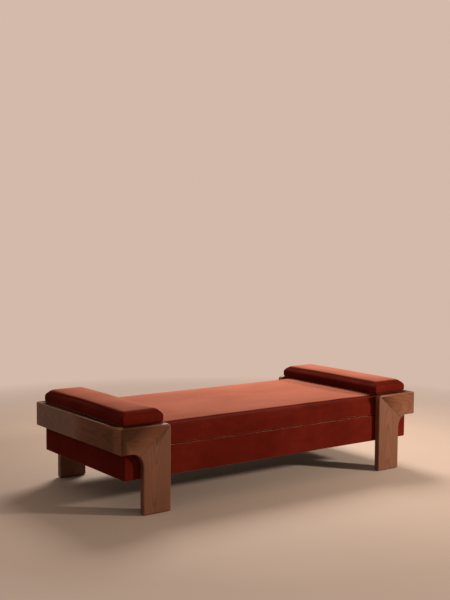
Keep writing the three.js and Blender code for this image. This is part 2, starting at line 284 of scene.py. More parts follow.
def woodFinish(name, own, placeAttribute="board"):
    material, tree, shader = newMaterial(name, Coat_Weight=own["coat"], Coat_Roughness=0.32,
                                         Specular_IOR_Level=0.32)
    place = attribute(tree, placeAttribute).outputs["Vector"] if placeAttribute else objectPlace(tree)
    figure = useGroup(tree, woodGroup, Place=place, Pitch=own["pitch"], Waver=own["waver"],
                      Lean=own["lean"])
    colour = blendColours(tree, figure["Late"], (*own["early"], 1), (*own["late"], 1))
    patch = spread(tree, figure["Patch"], 0.3, 0.7)
    colour = blendColours(tree, maths(tree, "MULTIPLY", patch, own["patch"]), colour, (*own["deep"], 1))
    pores = maths(tree, "MULTIPLY", figure["Pore"], own["pore"])
    colour = blendColours(tree, pores, colour, (*own["deep"], 1))
    # Rounded edges are mixed towards a lighter colour: partly rubbed wear, partly a painted highlight along
    # the edges.
    wornAndHighlit = useGroup(tree, wearAndHighlightGroup, Place=place, Amount=own["wearAndHighlight"])["Mask"]
    feed(tree, shader["Base Color"], blendColours(tree, wornAndHighlit, colour, (*own["rubbedAndHighlit"], 1)))
    rough = maths(tree, "ADD", own["rough"], maths(tree, "MULTIPLY", figure["Pore"], 0.2))
    feed(tree, shader["Roughness"], maths(tree, "SUBTRACT", rough, maths(tree, "MULTIPLY", wornAndHighlit, 0.12)))
    relief = maths(tree, "SUBTRACT", maths(tree, "MULTIPLY", figure["Late"], 0.35), figure["Pore"])
    feed(tree, shader["Normal"], bump(tree, relief, 0.00025, 0.7))
    return material


# Each wood's edge colour is partly rubbed wear and partly a painted highlight.
stainedOak = dict(early=(0.180, 0.061, 0.023), late=(0.098, 0.030, 0.011), deep=(0.058, 0.017, 0.007),
                  rubbedAndHighlit=(0.27, 0.108, 0.052), pitch=0.0060, waver=0.014, lean=0.05, patch=0.30, pore=0.9,
                  wearAndHighlight=0.6, rough=0.50, coat=0.02)
pineWood = dict(early=(0.60, 0.40, 0.21), late=(0.42, 0.23, 0.10), deep=(0.34, 0.20, 0.10),
                rubbedAndHighlit=(0.66, 0.48, 0.28), pitch=0.007, waver=0.012, lean=0.03, patch=0.25, pore=0.15,
                wearAndHighlight=0.3, rough=0.62, coat=0.0)
beechWood = dict(early=(0.47, 0.29, 0.16), late=(0.38, 0.22, 0.12), deep=(0.28, 0.15, 0.08),
                 rubbedAndHighlit=(0.55, 0.38, 0.24), pitch=0.004, waver=0.006, lean=0.02, patch=0.3, pore=0.25,
                 wearAndHighlight=0.3, rough=0.55, coat=0.0)
# The pale colour for grazing views is a painted sheen, mixed into the base colour where the cloth turns
# from the eye.
velvetCloth = dict(base=(0.088, 0.0072, 0.0032), brushed=(0.128, 0.0115, 0.0055),
                   crushed=(0.050, 0.0030, 0.0015), paintedSheen=(0.47, 0.158, 0.103),
                   sheen=0.12, sheenRoughness=0.30, sheenTint=(1.0, 0.41, 0.265, 1))


def velvetFinish(own):
    material, tree, shader = newMaterial(
        "velvet", Roughness=0.9, Sheen_Weight=own["sheen"], Sheen_Roughness=own["sheenRoughness"],
        Sheen_Tint=own["sheenTint"], Specular_IOR_Level=0.02)
    place = objectPlace(tree)
    strokes = stretched(tree, place, (2.4, 3.4, 3.4))
    hand = spread(tree, noise(tree, strokes, 1.0, 3.0, 0.55, 0.6), 0.36, 0.66)
    nap = spread(tree, noise(tree, stretched(tree, place, (14.0, 30.0, 22.0)), 1.0, 3.0, 0.6), 0.3, 0.7)
    colour = blendColours(tree, hand, (*own["base"], 1), (*own["brushed"], 1))
    colour = blendColours(tree, maths(tree, "MULTIPLY", nap, 0.35), colour, (*own["crushed"], 1))
    # Painted sheen: where the cloth turns away from the eye, the colour is mixed towards a pale one,
    # standing in for the pile's grazing sheen.
    turned = spread(tree, addNode(tree, "ShaderNodeLayerWeight", Blend=0.5).outputs["Facing"], 0.58, 0.88)
    turned = maths(tree, "MULTIPLY", turned, spread(tree, hand, 0.0, 1.0, 0.86, 1.0))
    colour = blendColours(tree, turned, colour, (*own["paintedSheen"], 1))
    fibres = noise(tree, place, 1300.0, 2.0, 0.65)
    colour = blendColours(tree, spread(tree, fibres, 0.35, 0.7, 0.0, 0.3), colour, (*own["crushed"], 1))
    seam = attribute(tree, "seam").outputs["Fac"]
    feed(tree, shader["Base Color"], blendColours(
        tree, maths(tree, "MULTIPLY", seam, 0.55), colour, (*own["crushed"], 1)))
    feed(tree, shader["Roughness"], spread(tree, hand, 0.0, 1.0, 0.92, 0.80))
    soft = bump(tree, nap, 0.0012, 0.35)
    feed(tree, shader["Normal"], bump(tree, fibres, 0.0004, 0.5, soft))
    return material


def feltFinish():
    material, tree, shader = newMaterial("felt", Roughness=0.97, Sheen_Weight=0.3)
    place = objectPlace(tree)
    fibres = noise(tree, stretched(tree, place, (700.0, 700.0, 1600.0)), 1.0, 3.0, 0.7, 1.5)
    colour = blendColours(tree, fibres, (0.012, 0.010, 0.009, 1), (0.045, 0.038, 0.034, 1))
    feed(tree, shader["Base Color"], colour)
    feed(tree, shader["Normal"], bump(tree, fibres, 0.0005, 0.8))
    return material


def wovenFinish(name, dark, light, pitch, roughness):
    material, tree, shader = newMaterial(name, Sheen_Weight=0.15)
    threads = useGroup(tree, weaveGroup, Place=objectPlace(tree), Pitch=pitch)
    colour = blendColours(tree, threads["Height"], (*dark, 1), (*light, 1))
    shade = spread(tree, threads["Shade"], 0.3, 0.7, 0.0, 0.35)
    feed(tree, shader["Base Color"], blendColours(tree, shade, colour, (*dark, 1)))
    feed(tree, shader["Roughness"], spread(tree, threads["Shade"], 0.3, 0.7, roughness, roughness - 0.12))
    feed(tree, shader["Normal"], bump(tree, threads["Height"], pitch * 0.3, 0.8))
    return material


def metalFinish(name, clean, dull, roughness):
    material, tree, shader = newMaterial(name, Metallic=1.0)
    place = objectPlace(tree)
    marks = spread(tree, noise(tree, place, 160.0, 4.0, 0.6), 0.35, 0.7)
    scratches = noise(tree, stretched(tree, place, (90.0, 2600.0, 2600.0)), 1.0, 2.0)
    wornAndHighlit = useGroup(tree, wearAndHighlightGroup, Place=place, Amount=0.6)["Mask"]
    colour = blendColours(tree, marks, (*clean, 1), (*dull, 1))
    feed(tree, shader["Base Color"], blendColours(tree, wornAndHighlit, colour, (*clean, 1)))
    feed(tree, shader["Roughness"], spread(tree, marks, 0.0, 1.0, roughness, roughness + 0.2))
    feed(tree, shader["Normal"], bump(tree, scratches, 0.00006, 0.5))
    return material


def floorFinish(own):
    material, tree, shader = newMaterial("floor", Roughness=0.75, Specular_IOR_Level=0.3)
    place = objectPlace(tree)
    tone = noise(tree, place, 1.4, 4.0, 0.55)
    low = tuple(part * 0.94 for part in own["floor"])
    feed(tree, shader["Base Color"], blendColours(tree, tone, (*low, 1), (*own["floor"], 1)))
    # The floor thins out into the backdrop, and from below it is clear, to show the underside.
    out = tree.nodes["Material Output"]
    clear = tree.nodes.new("ShaderNodeBsdfTransparent").outputs[0]
    swap = tree.nodes.new("ShaderNodeMixShader")
    distance = addNode(tree, "ShaderNodeVectorMath", dict(operation="LENGTH"), i0=place).outputs["Value"]
    fade = spread(tree, distance, *own["floorFade"])
    under = tree.nodes.new("ShaderNodeNewGeometry").outputs["Backfacing"]
    tree.links.new(maths(tree, "MAXIMUM", under, fade), swap.inputs[0])
    tree.links.new(tree.nodes["Principled BSDF"].outputs[0], swap.inputs[1])
    tree.links.new(clear, swap.inputs[2])
    tree.links.new(swap.outputs[0], out.inputs["Surface"])
    return material


oakFinish = woodFinish("stained_oak", stainedOak)
pineFinish = woodFinish("pine", pineWood)
pineSolid = woodFinish("pine_solid", pineWood, None)
beechSolid = woodFinish("beech_solid", beechWood, None)
velvet = velvetFinish(velvetCloth)
felt = feltFinish()
cambric = wovenFinish("cambric", (0.008, 0.008, 0.008), (0.030, 0.029, 0.029), 0.0009, 0.95)
zipTape = wovenFinish("zip_tape", (0.085, 0.014, 0.008), (0.175, 0.032, 0.018), 0.0007, 0.85)
steel = metalFinish("steel", (0.55, 0.56, 0.58), (0.36, 0.36, 0.37), 0.28)
brass = metalFinish("brass", (0.62, 0.45, 0.20), (0.40, 0.29, 0.14), 0.30)

addCamera(camera)
addLight("key", keyLight)
addLight("top", topLight)
addRoom(room)
bpy.context.scene.view_settings.view_transform = "Standard"
print("finishes, camera and lights made")


# ---- mesh helpers ----

def makeObject(name, points, faces, values=None):
    mesh = bpy.data.meshes.new(name)
    mesh.from_pydata(np.asarray(points, float).reshape(-1, 3).tolist(), [], faces)
    for key, value in (values or {}).items():
        layer = mesh.attributes.new(key, "FLOAT", "POINT")
        layer.data.foreach_set("value", np.asarray(value, np.float32).ravel())
    piece = bpy.data.objects.new(name, mesh)
    bpy.context.scene.collection.objects.link(piece)
    return piece


def ringFaces(rings, count, capped=True):
    # Quads between neighbouring closed rings, and a flat face over the first and last.
    i, j = np.meshgrid(np.arange(rings - 1), np.arange(count), indexing="ij")
    a, b = i * count + j, i * count + (j + 1) % count
    faces = np.stack([a, b, b + count, a + count], -1).reshape(-1, 4).tolist()
    if capped:
        faces += [list(range(count))[::-1], list(range((rings - 1) * count, rings * count))]
    return faces


def gridFaces(rows, columns):
    # Quads between the neighbouring points of a grid.
    i, j = np.meshgrid(np.arange(rows - 1), np.arange(columns - 1), indexing="ij")
    a, b = i * columns + j, (i + 1) * columns + j
    return np.stack([a, b, b + 1, a + 1], -1).reshape(-1, 4).tolist()


def tidyMesh(piece, cutters=(), smooth=True):
    # Doubles merged, cut by planes (point, normal pointing to what goes), closed again, faces outwards.
    mesh = piece.data
    work = bmesh.new()
    work.from_mesh(mesh)
    bmesh.ops.remove_doubles(work, verts=work.verts, dist=2e-6)
    bmesh.ops.dissolve_degenerate(work, edges=work.edges, dist=1e-6)
    for point, normal in cutters:
        everything = work.verts[:] + work.edges[:] + work.faces[:]
        made = bmesh.ops.bisect_plane(work, geom=everything, plane_co=point, plane_no=normal,
                                      clear_outer=True, dist=1e-6)["geom_cut"]
        rim = [e for e in made if isinstance(e, bmesh.types.BMEdge)]
        bmesh.ops.holes_fill(work, edges=rim, sides=0)
    bmesh.ops.recalc_face_normals(work, faces=work.faces)
    work.to_mesh(mesh)
    work.free()
    mesh.polygons.foreach_set("use_smooth", np.full(len(mesh.polygons), smooth))
    return piece


def pointsOf(piece):
    points = np.empty(len(piece.data.vertices) * 3)
    piece.data.vertices.foreach_get("co", points)
    return points.reshape(-1, 3)


def normalsOf(piece):
    normals = np.empty(len(piece.data.vertices) * 3)
    piece.data.vertex_normals.foreach_get("vector", normals)
    return normals.reshape(-1, 3)


def setPoints(piece, points):
    piece.data.vertices.foreach_set("co", np.asarray(points, np.float32).ravel())
    piece.data.update()


def finishPiece(piece, material, body, slot, *nodes):
    piece.data.materials.append(material)
    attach(piece, body)
    if nodes:
        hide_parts(*nodes)
    return piece


def joinPieces(name, pieces):
    # One mesh from several, by their own data.
    work = bmesh.new()
    for piece in pieces:
        work.from_mesh(piece.data)
    mesh = bpy.data.meshes.new(name)
    work.to_mesh(mesh)
    work.free()
    for piece in pieces:
        bpy.data.objects.remove(piece)
    whole = bpy.data.objects.new(name, mesh)
    bpy.context.scene.collection.objects.link(whole)
    return whole


def roundedPolygon(corners, inset, steps):
    # Corners are (x, y, radius), anticlockwise. Each corner moves in along its bisector by the
    # inset and keeps its arc's centre, so a convex arc shrinks and a hollow one grows.
    corners = np.asarray(corners, float)
    here, radius = corners[:, :2], corners[:, 2]
    into = here - np.roll(here, 1, 0)
    into /= np.linalg.norm(into, axis=1)[:, None]
    away = np.roll(into, -1, 0)
    normalIn = np.stack([-into[:, 1], into[:, 0]], 1)
    normalOut = np.stack([-away[:, 1], away[:, 0]], 1)
    along = (normalIn * normalOut).sum(1)
    turn = np.arctan2(into[:, 0] * away[:, 1] - into[:, 1] * away[:, 0], along)
    side = np.sign(turn)
    radius = np.maximum(radius - inset * side, 0)
    vertex = here + inset * (normalIn + normalOut) / (1 + along)[:, None]
    centre = vertex - into * (radius * np.tan(abs(turn) / 2))[:, None] + normalIn * (side * radius)[:, None]
    angle = turn[:, None] * np.linspace(0, 1, steps + 1)
    c, s = np.cos(angle), np.sin(angle)
    normal = np.stack([normalIn[:, :1] * c - normalIn[:, 1:] * s,
                       normalIn[:, :1] * s + normalIn[:, 1:] * c], -1)
    return (centre[:, None, :] - (side * radius)[:, None, None] * normal).reshape(-1, 2)


def slab(name, corners, thickness, edge, axes, origin, arcSteps=12, edgeSteps=6, cutters=()):
    # A rounded polygon pushed through a thickness. Its rim follows a quarter circle at each
    # face: inset is edge (1 - sin t) and depth edge (1 - cos t), with a flat ring on each side.
    turn = np.linspace(0, pi / 2, edgeSteps + 1)
    support = edge * 0.2
    inset = np.concatenate([[edge + support], edge * (1 - np.sin(turn)), [0]])
    depth = np.concatenate([[0], edge * (1 - np.cos(turn)), [edge + support]])
    # The edge value, for rubbed wear and for a painted highlight on wood, is highest half-way round each
    # rounded edge.
    wearAndHighlight = np.concatenate([[0], np.sin(2 * turn) ** 0.6, [0]])
    insets = np.concatenate([inset, inset[::-1]])
    depths = np.concatenate([depth, thickness - depth[::-1]]) - thickness / 2
    wearAndHighlightRings = np.concatenate([wearAndHighlight, wearAndHighlight[::-1]])
    rings = np.stack([roundedPolygon(corners, step, arcSteps) for step in insets])
    count = rings.shape[1]
    across, up, through = (np.asarray(axis, float) for axis in axes)
    points = (np.asarray(origin, float) + rings[..., :1] * across + rings[..., 1:] * up
              + depths[:, None, None] * through)
    piece = makeObject(name, points, ringFaces(len(insets), count), dict(edge=np.repeat(wearAndHighlightRings, count)))
    return tidyMesh(piece, cutters)


def rectangle(x0, y0, x1, y1, radius):
    return [(x0, y0, radius), (x1, y0, radius), (x1, y1, radius), (x0, y1, radius)]


def setBoard(piece, along, across, shift=None):
    # The board's own coordinates for its grain: along it, across it and through it.
    along, across = np.asarray(along, float), np.asarray(across, float)
    offset = draws.uniform((-3, -0.02, -0.01), (3, 0.02, 0.01)) if shift is None else np.asarray(shift)
    points = pointsOf(piece)
    middle = (points.min(0) + points.max(0)) / 2
    place = (points - middle) @ np.stack([along, across, np.cross(along, across)], 1) + offset
    layer = piece.data.attributes.new("board", "FLOAT_VECTOR", "POINT")
    layer.data.foreach_set("vector", place.astype(np.float32).ravel())


X, Y, Z = np.eye(3)


# ---- wooden end frames ----

endFrame = dict(edge=0.006, legCorner=0.006, topCorner=0.022, underArm=0.070, jointGap=0.00015,
                padMargin=0.007, padCorner=0.003, padEdge=0.0007)


def makeEndFrame(end, sign):
    own = endFrame
    railLow, railHigh = boxOf(f"{end}_end_rail")
    top, armBottom = railHigh[2], railLow[2]
    railOuter = max(abs(railLow[0]), abs(railHigh[0]))
    for side, turned in (("front", -1), ("rear", 1)):
        place = f"{end}_{side}"
        legLow, legHigh = boxOf(f"{place}_leg")
        padLow, padHigh = boxOf(f"{place}_felt_pad")
        legInner = min(abs(legLow[0]), abs(legHigh[0]))
        legOuter = max(abs(padLow[0]), abs(padHigh[0])) + own["padMargin"]
        beyond = railOuter + 4 * own["edge"]
        corners = [
            (legInner, legLow[2], own["legCorner"]), (legOuter, legLow[2], own["legCorner"]),
            (legOuter, armBottom, own["underArm"]), (beyond, armBottom, 0), (beyond, top, 0),
            (legInner, top, own["topCorner"]),
        ]
        thickness = legHigh[1] - legLow[1]
        origin = Y * (legLow[1] + legHigh[1]) / 2
        # The joint runs from the inner top corner down to the corner under the arm, drawn at +X.
        outward = np.array([top - armBottom, 0, legOuter - legInner])
        outward /= np.linalg.norm(outward)
        corner = X * legInner + Z * top
        gap = own["jointGap"]
        outerY = legLow[1] if side == "front" else legHigh[1]
        flip = np.array([sign, 1, 1])
        axes = (X * sign, Z, Y)
        leg = slab(f"{place}_leg_board", corners, thickness, own["edge"], axes, origin, arcSteps=16,
                   cutters=[((corner - outward * gap) * flip, outward * flip)])
        arm = slab(f"{place}_arm_board", corners, thickness, own["edge"], axes, origin, arcSteps=16,
                   cutters=[((corner + outward * gap) * flip, -outward * flip),
                            railMitre(sign, turned, railOuter, outerY, -gap)])
        setBoard(leg, Z, X)
        setBoard(arm, X, Z)
        finishPiece(leg, oakFinish, "root", "stained_oak", f"{place}_leg")
        finishPiece(arm, oakFinish, "root", "stained_oak", f"{place}_arm")
        outline = rectangle(padLow[0], padLow[1], padHigh[0], padHigh[1], own["padCorner"])
        pad = slab(f"{place}_pad", outline, padHigh[2] - padLow[2], own["padEdge"], (X, Y, Z),
                   Z * (padLow[2] + padHigh[2]) / 2, 6, 3)
        finishPiece(pad, felt, "root", "felt", f"{place}_felt_pad")
    makeEndRail(end, sign, railLow, railHigh)


def railMitre(sign, turned, outerX, outerY, shift):
    # The upright plane at 45 degrees through the outer corner, where arm and end rail meet.
    # Its normal points from the arm to the rail, and it is shifted along that.
    normal = np.array([sign, -turned, 0]) / 2 ** 0.5
    return np.array([sign * outerX, outerY, 0]) + shift * normal, normal


def makeEndRail(end, sign, low, high):
    # A slab thicker and longer than the rail, its edges rounded, cut off flush on the inner face
    # and along the two mitres.
    own = endFrame
    edge = own["edge"]
    extra = 4 * edge
    thickness = high[0] - low[0] + extra
    middle = (low[0] + high[0]) / 2 - sign * extra / 2
    inner = low[0] if sign > 0 else high[0]
    cutters = [(X * inner, -X * sign)]
    for turned, outerY in ((-1, low[1]), (1, high[1])):
        place, normal = railMitre(sign, turned, max(abs(low[0]), abs(high[0])), outerY, own["jointGap"])
        cutters.append((place, -normal))
    rail = slab(f"{end}_end_rail_board", rectangle(low[1] - extra, low[2], high[1] + extra, high[2], edge),
                thickness, edge, (Y, Z, X), X * middle, 8, cutters=cutters)
    setBoard(rail, Y, Z)
    finishPiece(rail, oakFinish, "root", "stained_oak", f"{end}_end_rail")


makeEndFrame("left", -1)
makeEndFrame("right", 1)
print("end frames made")


# ---- base framing, slats, velvet band and dust sheet ----

baseBoards = dict(edge=0.0015, slatEdge=0.003, corner=0.003)


def makeBoard(name, node, along, edge, corner):
    # A board with eased edges in the box of its node, its grain along X or Y.
    low, high = boxOf(node)
    size = high - low
    thin = int(np.argmin(size))
    axes = [axis for axis in range(3) if axis != thin]
    first, second = np.eye(3)[axes]
    through = np.cross(first, second)
    corners = rectangle(low[axes[0]], low[axes[1]], high[axes[0]], high[axes[1]], corner)
    origin = abs(through) * (low[thin] + high[thin]) / 2
    board = slab(name, corners, size[thin], edge, (first, second, through), origin, 4, 3)
    setBoard(board, along, np.cross(through, along))
    return finishPiece(board, pineFinish, "root", "pine", node)


def makeBase():
    own = baseBoards
    for end in ("left", "right"):
        makeBoard(f"base_{end}_end_board", f"base_{end}_end", Y, own["edge"], own["corner"])
    for number in (1, 2, 3):
        makeBoard(f"base_cross_rail_board_{number}", f"base_cross_rail_{number}", Y, own["edge"],
                  own["corner"])
    for number in range(1, 9):
        makeBoard(f"base_slat_board_{number}", f"base_slat_{number}", Y, own["slatEdge"], own["slatEdge"])


baseBand = dict(lip=0.011, hem=0.025, tuck=0.003, cloth=0.0022, edge=0.0045, corner=0.009, sink=0.0004,
                cell=0.012, seamWidth=0.0022, seamDepth=0.0011, wave=0.0005, waveSize=0.05, seed=5)


def smoothNoise(points, scale, seed):
    # A sum of a few sine waves with fixed random directions, from -1 to 1 or so.
    waves = np.random.default_rng(seed)
    total = np.zeros(len(points))
    for _ in range(7):
        direction = waves.normal(size=3)
        total += np.sin(points @ direction / scale + waves.uniform(0, 2 * pi))
    return total / 4


def makeBand():
    # The velvet band: a profile of inset and height carried round the base's plan outline.
    own = baseBand
    low, high = boxOf("base_velvet")
    quarter = np.linspace(0, pi / 2, 6)
    top, bottom, edge = high[2], low[2], own["edge"]
    face = np.linspace(top - edge, bottom + edge, 15)[1:-1]
    lip = np.linspace(own["lip"] + own["tuck"], edge, 5)[:-1]
    hem = np.linspace(edge, own["hem"] + own["tuck"], 8)[1:]
    inset = np.concatenate([lip, edge * (1 - np.sin(quarter)), 0 * face,
                            edge * (1 - np.cos(quarter)), hem])
    height = np.concatenate([top + 0 * lip, top - edge * (1 - np.cos(quarter)), face,
                             bottom + edge * (1 - np.sin(quarter)), bottom + 0 * hem])
    share = np.clip((height - bottom) / (top - bottom), 0, 1)
    inset = inset + own["sink"] * (2 * share - 1) ** 4 * (inset < edge * 0.99)
    rings = [bandRing(low, high, step) for step in inset]
    count = len(rings[0])
    points = np.concatenate([np.stack([ring, np.full((count, 2), z)], 1).reshape(count, 4)[:, :3]
                             for ring, z in zip(rings, height)])
    onFace = np.repeat((inset < edge * 0.5).astype(float), count)
    # The cloth's one joint is at the middle of the back.
    seamGap = np.where(points[:, 1] > 0, abs(points[:, 0]), 1.0)
    seam = np.exp(-(seamGap / own["seamWidth"]) ** 2)
    wave = own["wave"] * (1 + smoothNoise(points, own["waveSize"], own["seed"])) / 2
    onEnd = abs(points[:, :1]) > high[0] - 0.002
    inward = np.where(onEnd, X * np.sign(-points[:, :1]), Y * np.sign(-points[:, 1:2]))
    points = points + inward * (onFace * (wave + own["seamDepth"] * seam))[:, None]
    band = makeObject("base_velvet_band", points, ringFaces(len(rings), count, False),
                      dict(seam=seam * onFace))
    tidyMesh(band)
    wall = band.modifiers.new("wall", "SOLIDIFY")
    wall.thickness = own["cloth"]
    wall.offset = -1
    finishPiece(band, velvet, "root", "velvet", "base_velvet")


def bandRing(low, high, inset):
    # The plan outline at an inset, with points spaced evenly along its straight sides.
    own = baseBand
    corners = rectangle(low[0], low[1], high[0], high[1], own["corner"])
    ring = roundedPolygon(corners, inset, 5).reshape(4, 6, 2)
    parts = []
    for number in range(4):
        start, stop = ring[number, -1], ring[(number + 1) % 4, 0]
        length = np.linalg.norm((high - low)[:2][number % 2])
        share = np.linspace(0, 1, int(length / own["cell"]))
        if number == 2:  # closer points at the joint
            close = 0.5 + np.array([-6, -4, -2.5, -1.2, 0, 1.2, 2.5, 4, 6]) * 0.001 / length
            share = np.union1d(share[abs(share - 0.5) > 0.008 / length], close)
        parts += [ring[number], start + (stop - start) * share[1:-1, None]]
    return np.concatenate(parts)


dustSheet = dict(sag=0.004, pucker=0.0006, cloth=0.0005, columns=120, rows=54, gap=0.0001)
stapleRow = dict(pitch=0.055, width=0.010, wire=0.0006, inset=0.010, cornerGap=0.02, sink=0.0002)


def makeDustSheet():
    # A thin sheet that sags a little between the cross rails: depth is sag times a product of sines.
    own = dustSheet
    low, high = boxOf("base_dust_sheet")
    u, v = np.meshgrid(np.linspace(0, 1, own["columns"]), np.linspace(0, 1, own["rows"]), indexing="ij")
    sag = own["sag"] * np.sin(pi * v) ** 0.8 * abs(np.sin(4 * pi * u)) ** 0.8
    x, y = low[0] + u * (high[0] - low[0]), low[1] + v * (high[1] - low[1])
    pucker = own["pucker"] * np.exp(-np.minimum(v, 1 - v) * 40) * np.sin(2 * pi * x / stapleRow["pitch"])
    points = np.stack([x, y, high[2] - own["gap"] - sag - abs(pucker)], -1).reshape(-1, 3)
    sheet = makeObject("base_dust_sheet_cloth", points, gridFaces(own["columns"], own["rows"]))
    tidyMesh(sheet)
    if sheet.data.polygons[0].normal.z > 0:
        sheet.data.flip_normals()
    wall = sheet.modifiers.new("wall", "SOLIDIFY")
    wall.thickness = own["cloth"]
    wall.offset = -1
    finishPiece(sheet, cambric, "root", "cambric", "base_dust_sheet")
    makeStaples(high)


def makeStaples(high):
    # Flat wire bridges set round the sheet's edge, each a box with its long side along the edge.
    own = stapleRow
    halfX, halfY = high[0] - own["inset"], high[1] - own["inset"]
    x = np.arange(-halfX + own["cornerGap"], halfX - own["cornerGap"], own["pitch"])
    y = np.arange(-halfY + own["cornerGap"], halfY - own["cornerGap"], own["pitch"])
    # Each place is x, y and 1 where the staple is turned along Y.
    places = np.concatenate([
        np.stack([x, x * 0 - halfY, x * 0], 1), np.stack([x, x * 0 + halfY, x * 0], 1),
        np.stack([y * 0 - halfX, y, y * 0 + 1], 1), np.stack([y * 0 + halfX, y, y * 0 + 1], 1),
    ])
    halfWide, wire = own["width"] / 2, own["wire"]
    bridge = np.array(roundedPolygon(rectangle(-halfWide, -wire, halfWide, wire, wire * 0.8), 0, 2))
    count = len(bridge)
    turned = places[:, 2:] > 0.5
    plan = np.where(turned[:, :, None], bridge[None, :, ::-1], bridge[None])
    plan = plan + places[:, None, :2]
    top = high[2] - own["sink"]
    levels = [top, top - dustSheet["cloth"] - wire]
    points = np.stack([np.concatenate([plan, np.full((*plan.shape[:2], 1), z)], -1) for z in levels], 1)
    one = np.array(ringFaces(2, count, False))
    faces = (one[None] + (np.arange(len(places)) * 2 * count)[:, None, None]).reshape(-1, 4).tolist()
    starts = np.arange(len(places)) * 2 * count
    faces += [list(range(s, s + count))[::-1] for s in starts]
    faces += [list(range(s + count, s + 2 * count)) for s in starts]
    staples = makeObject("base_dust_sheet_staples", points, faces)
    tidyMesh(staples, smooth=False)
    finishPiece(staples, steel, "root", "steel")


makeBase()
makeBand()
makeDustSheet()
print("base made")


# ---- cushions ----

# start is how far inside its space a cushion begins, before it swells by travel at the most.
mattress = dict(name="mattress", topEdge=0.054, bottomEdge=0.009, corner=0.030,
                start=(0.003, 0.003, 0.0042), crown=0.006, crownReach=0.18, travel=0.004, pull=0.001,
                zipOnSide=True, seams="corners", fine=0.006, coarse=(0.017, 0.017), pressure=4.0,
                ceiling=0.4511, fill=0.95, seed=3)
leftBolster = dict(name="left_bolster", topEdge=0.036, bottomEdge=0.0145, corner=0.011,
                   start=(0.001, 0.001, 0.0076), crown=0.009, crownReach=0.126, travel=0.008,
                   pull=0.001, zipOnSide=False, seams="ends", fine=0.0055, coarse=(0.012, 0.006),
                   pressure=4.0, ceiling=0.5365, fill=0.8, seed=4)
rightBolster = dict(leftBolster, name="right_bolster", bottomEdge=0.020, seed=8)
zipChannel = dict(width=0.0165, depth=0.0068, edge=0.0030)
coverSeam = dict(width=0.0030, depth=0.0008, puckerReach=0.014, pucker=0.0003, puckerSize=0.006,
                 slack=0.0007, slackSize=0.07)
coverCloth = dict(quality=4, mass=0.35, tension=25, compression=18, shear=8, bending=2.5, frames=20,
                  evening=14)


def gradedLine(half, own, coarse):
    # Grid lines from -half to half, close together near both ends and wider in the middle.
    margin = max(own["topEdge"], own["corner"]) + 0.006
    near = np.linspace(0, margin, int(margin / own["fine"]) + 1)
    inner = half - margin
    middle = np.linspace(-inner, inner, max(2, int(round(2 * inner / coarse))) + 1)[1:-1]
    return np.concatenate([-half + near, middle, (half - near)[::-1]])


def boxGrid(xLines, yLines, zLines):
    # The six sides of a box as grids, merged where they meet. Gives points and quads.
    sides = []
    for axis, (first, second) in ((0, (1, 2)), (1, (2, 0)), (2, (0, 1))):
        lines = (xLines, yLines, zLines)
        for sign in (-1, 1):
            a, b = np.meshgrid(lines[first], lines[second], indexing="ij")
            points = np.empty((*a.shape, 3))
            points[..., first], points[..., second] = a, b
            points[..., axis] = lines[axis][-1 if sign > 0 else 0]
            quads = np.array(gridFaces(*a.shape))
            sides.append((points.reshape(-1, 3), quads if sign > 0 else quads[:, ::-1]))
    allPoints = np.concatenate([p for p, _ in sides])
    starts = np.cumsum([0] + [len(p) for p, _ in sides[:-1]])
    quads = np.concatenate([q + s for (_, q), s in zip(sides, starts)])
    rounded = np.round(allPoints, 7)
    _, first, where = np.unique(rounded, axis=0, return_index=True, return_inverse=True)
    return allPoints[first], where.reshape(-1)[quads]


def softBox(points, half, own):
    # Rounds a box's surface. Near an edge the distances from it become those of a circle's arc,
    # and each plan ring keeps its place while its corners are pressed into quarter circles.
    # The top falls away towards its rim by crown (1 - side / reach)^2.
    size = half - np.array(own["start"])
    points = points * (size / half)
    edge = np.where(points[:, 2] > 0, own["topEdge"], own["bottomEdge"])
    gap = size - abs(points)
    side = np.minimum(gap[:, 0], gap[:, 1])
    bend = pi / 4 * (np.clip(1 - side / edge, 0, 1) + np.clip(gap[:, 2] / edge, 0, 1))
    flat = side >= edge
    inset = np.where(flat, side, edge * (1 - np.sin(bend)))
    drop = np.where(flat, 0, np.where(gap[:, 2] < edge, edge * (1 - np.cos(bend)), gap[:, 2]))
    ringHalf = size[:2] - inset[:, None]
    ratio = np.where(flat[:, None], 1.0, ringHalf / np.maximum(size[:2] - side[:, None], 1e-6))
    plan = points[:, :2] * ratio
    radius = np.maximum(own["corner"] - 0.3 * inset, 0.007)[:, None]
    core = np.clip(plan, radius - ringHalf, ringHalf - radius)
    away = plan - core
    length = np.maximum(np.linalg.norm(away, axis=1), 1e-9)[:, None]
    plan = core + away / length * abs(away).max(1)[:, None]
    height = np.where(points[:, 2] > 0, 1.0, -half[2] / size[2]) * (size[2] - drop)
    sunk = own["crown"] * np.clip(1 - side / own["crownReach"], 0, 1) ** 2
    return np.column_stack([plan, height - sunk * np.clip(0.5 + height / size[2] / 2, 0, 1)])


def evened(piece, values, rounds):
    # Each value becomes the mean of itself and its neighbours' mean, several times over.
    ends = np.empty(len(piece.data.edges) * 2, int)
    piece.data.edges.foreach_get("vertices", ends)
    first, second = ends.reshape(-1, 2).T
    count = np.bincount(ends, minlength=len(values))
    for _ in range(rounds):
        total = (np.bincount(first, values[second], len(values))
                 + np.bincount(second, values[first], len(values)))
        values = (values + total / count) / 2
    return values


